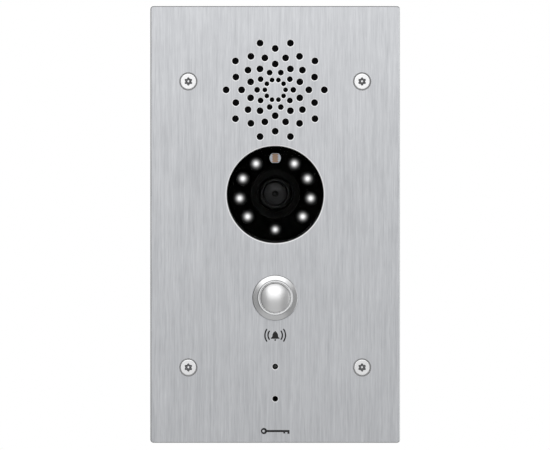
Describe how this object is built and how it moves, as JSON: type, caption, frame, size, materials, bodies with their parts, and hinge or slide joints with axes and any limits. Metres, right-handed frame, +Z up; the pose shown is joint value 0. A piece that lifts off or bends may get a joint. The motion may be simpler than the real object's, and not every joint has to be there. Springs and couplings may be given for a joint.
{
  "type": "door intercom panel",
  "caption": "Tall brushed steel door station with a round loudspeaker grille, camera window with night lights, call button, status light and microphone, on a black rear housing.",
  "frame": {"origin": "centre of the wall opening, on the wall's surface, where the rear face of the wall gasket rests", "axes": "+X to the visitor's right, +Y into the wall, +Z up; the faceplate looks along -Y"},
  "size_m": [0.12, 0.0496, 0.21],
  "materials": {
    "plate_steel": "stainless steel brushed from top to bottom, satin",
    "screw_steel": "bright stainless steel, fine turned finish",
    "button_steel": "stainless steel, finely turned and polished",
    "gasket_foam": "closed-cell black foam rubber, matt",
    "black_rubber": "black rubber, matt",
    "mesh_fabric": "fine black acoustic cloth",
    "cone_paper": "dark pressed paper, matt",
    "magnet_ferrite": "dark grey ferrite, matt",
    "zinc_plate": "zinc plated steel, satin",
    "spring_steel": "drawn spring wire, semi-bright",
    "capsule_can": "drawn aluminium, satin",
    "socket_shield": "tinned steel sheet, semi-bright",
    "clear_window": "clear hard-coated plastic, polished",
    "lens_glass": "coated glass, polished",
    "lamp_epoxy": "clear cast epoxy, polished",
    "light_guide": "clear moulded plastic, polished",
    "sensor_ceramic": "pale ceramic with a brown sensing track under clear lacquer",
    "black_moulding": "black moulded plastic, fine spark texture",
    "housing_plastic": "black moulded plastic, medium spark texture",
    "plunger_plastic": "pale grey moulded plastic, satin",
    "board_black": "black circuit board lacquer, satin",
    "board_green": "green circuit board lacquer, semi-gloss",
    "terminal_green": "green moulded plastic, satin",
    "lead_sleeve": "flexible black sleeve, satin"
  },
  "bodies": {
    "panel": {"faceplate": "plate_steel", "panel_screw_1": "screw_steel", "panel_screw_2": "screw_steel", "panel_screw_3": "screw_steel", "panel_screw_4": "screw_steel", "wall_gasket": "gasket_foam", "speaker_mesh": "mesh_fabric", "speaker_gasket": "black_rubber", "window_seal": "black_rubber", "lens_baffle": "black_rubber", "button_seal": "black_rubber", "microphone_boot": "black_rubber", "housing_seal": "black_rubber", "speaker_frame": "zinc_plate", "button_nut": "zinc_plate", "housing_screw_1": "zinc_plate", "housing_screw_2": "zinc_plate", "housing_screw_3": "zinc_plate", "housing_screw_4": "zinc_plate", "standoff_1": "zinc_plate", "standoff_2": "zinc_plate", "standoff_3": "zinc_plate", "standoff_4": "zinc_plate", "speaker_cone": "cone_paper", "speaker_magnet": "magnet_ferrite", "speaker_lead": "lead_sleeve", "camera_window": "clear_window", "camera_shroud": "black_moulding", "lens_barrel": "black_moulding", "lens_holder": "black_moulding", "contact_block": "black_moulding", "inner_carrier": "black_moulding", "tamper_switch": "black_moulding", "reset_switch": "black_moulding", "night_light_board": "board_black", "night_light_1": "lamp_epoxy", "night_light_2": "lamp_epoxy", "night_light_3": "lamp_epoxy", "night_light_4": "lamp_epoxy", "night_light_5": "lamp_epoxy", "night_light_6": "lamp_epoxy", "night_light_7": "lamp_epoxy", "night_light_8": "lamp_epoxy", "night_light_9": "lamp_epoxy", "status_light_pipe": "light_guide", "light_sensor": "sensor_ceramic", "lens_glass": "lens_glass", "camera_board": "board_green", "main_board": "board_green", "button_bezel": "button_steel", "button_spring": "spring_steel", "tamper_spring": "spring_steel", "microphone": "capsule_can", "rear_housing": "housing_plastic", "network_socket": "socket_shield", "terminal_block": "terminal_green"},
    "call_button": {"button_cap": "button_steel"},
    "tamper_plunger": {"tamper_plunger": "plunger_plastic"},
    "reset_button": {"reset_button": "plunger_plastic"}
  },
  "joints": [
    {"name": "call_button_press", "type": "slide", "parent": "panel", "child": "call_button", "axis": [0, 1, 0], "range_m": [0, 0.0025], "stiffness_N_per_m": 1000, "springref_m": -0.002, "deforming": ["button_spring"]},
    {"name": "tamper_plunger_press", "type": "slide", "parent": "panel", "child": "tamper_plunger", "axis": [0, -1, 0], "range_m": [0, 0.0025], "stiffness_N_per_m": 400, "springref_m": -0.002, "deforming": ["tamper_spring"]},
    {"name": "reset_button_press", "type": "slide", "parent": "panel", "child": "reset_button", "axis": [0, -1, 0], "range_m": [0, 0.00025], "stiffness_N_per_m": 4000, "springref_m": -0.0002}
  ]
}
